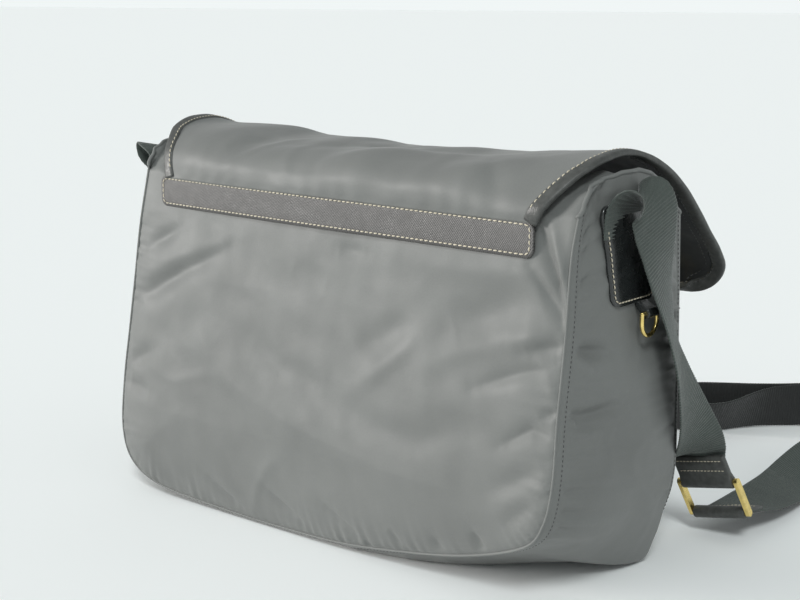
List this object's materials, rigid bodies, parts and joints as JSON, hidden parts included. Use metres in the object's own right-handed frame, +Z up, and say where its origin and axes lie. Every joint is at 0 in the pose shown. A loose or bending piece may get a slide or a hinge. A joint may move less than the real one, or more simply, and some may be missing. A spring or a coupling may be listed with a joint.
{
  "type": "shoulder bag",
  "caption": "Soft nylon messenger bag with a hinged flap, leather edging, a flap zip, buckled closing straps, side D-rings and a webbing shoulder strap on rectangular rings.",
  "frame": {"origin": "middle of the underside, where the bag stands, at the middle of its width", "axes": "+Z up, the front with the flap's drop faces -Y, the back faces +Y, +X to the right seen from the front"},
  "size_m": [0.4322, 0.5255, 0.2772],
  "materials": {
    "nylon": "satin",
    "lining_cloth": "matte",
    "board": "matte",
    "grained_leather": "satin",
    "smooth_leather": "glossy",
    "webbing": "matte",
    "zip_tape": "matte",
    "brass": "polished",
    "thread": "matte"
  },
  "bodies": {
    "bag": {"back_panel": "nylon", "front_panel": "nylon", "bottom_panel": "nylon", "gusset_left": "nylon", "gusset_right": "nylon", "lining": "lining_cloth", "base_board": "board", "pocket_panel": "nylon", "pocket_gusset": "nylon", "pocket_binding": "grained_leather", "back_strip": "grained_leather", "strap_tab_left": "smooth_leather", "strap_tab_right": "smooth_leather", "anchor_webbing_left": "webbing", "anchor_webbing_right": "webbing", "anchor_wrap_left": "grained_leather", "anchor_wrap_right": "grained_leather", "strap_ring_left": "brass", "strap_ring_right": "brass", "d_ring_loop_left": "smooth_leather", "d_ring_loop_right": "smooth_leather", "snap_socket_left": "brass", "snap_socket_right": "brass", "shoulder_strap": "webbing", "strap_overlap": "webbing", "strap_glide": "brass", "strap_end_wrap_left": "grained_leather", "strap_return_right": "webbing"},
    "flap": {"flap_shell": "nylon", "flap_lining": "lining_cloth", "flap_binding": "grained_leather", "flap_zip_tape": "zip_tape", "flap_zip_teeth": "brass", "flap_zip_stops": "brass", "buckle_chape_left": "grained_leather", "buckle_chape_right": "grained_leather"},
    "zip_slider": {"flap_zip_slider": "brass"},
    "zip_puller": {"flap_zip_puller": "brass"},
    "closing_strap_left": {"buckle_frame_left": "brass", "closing_strap_left": "grained_leather", "keeper_left": "grained_leather", "snap_stud_left": "brass"},
    "prong_left": {"buckle_prong_left": "brass"},
    "d_ring_left": {"d_ring_left": "brass"},
    "closing_strap_right": {"buckle_frame_right": "brass", "closing_strap_right": "grained_leather", "keeper_right": "grained_leather", "snap_stud_right": "brass"},
    "prong_right": {"buckle_prong_right": "brass"},
    "d_ring_right": {"d_ring_right": "brass"}
  },
  "joints": [
    {"name": "flap_hinge", "type": "hinge", "parent": "bag", "child": "flap", "pos_m": [0, 0.0645, 0.2415], "axis": [-1, 0, 0], "range_deg": [0, 180]},
    {"name": "zip_slide", "type": "slide", "parent": "flap", "child": "zip_slider", "axis": [-1, 0, 0], "range_m": [0, 0.27]},
    {"name": "puller_swing", "type": "hinge", "parent": "zip_slider", "child": "zip_puller", "pos_m": [0.139, -0.05053, 0.26614], "axis": [0, 0.9183, 0.3958], "range_deg": [0, 165]},
    {"name": "closing_strap_left_lift", "type": "hinge", "parent": "flap", "child": "closing_strap_left", "pos_m": [-0.135, -0.121, 0.18], "axis": [-1, 0, 0], "range_deg": [0, 34]},
    {"name": "prong_left_swing", "type": "hinge", "parent": "closing_strap_left", "child": "prong_left", "pos_m": [-0.135, -0.121, 0.18], "axis": [1, 0, 0], "range_deg": [0, 50]},
    {"name": "d_ring_left_swing", "type": "hinge", "parent": "bag", "child": "d_ring_left", "pos_m": [-0.203, -0.002, 0.181], "axis": [0, 1, 0], "range_deg": [-12, 18]},
    {"name": "closing_strap_right_lift", "type": "hinge", "parent": "flap", "child": "closing_strap_right", "pos_m": [0.135, -0.121, 0.18], "axis": [-1, 0, 0], "range_deg": [0, 34]},
    {"name": "prong_right_swing", "type": "hinge", "parent": "closing_strap_right", "child": "prong_right", "pos_m": [0.135, -0.121, 0.18], "axis": [1, 0, 0], "range_deg": [0, 50]},
    {"name": "d_ring_right_swing", "type": "hinge", "parent": "bag", "child": "d_ring_right", "pos_m": [0.203, -0.002, 0.181], "axis": [0, -1, 0], "range_deg": [-12, 18]}
  ]
}
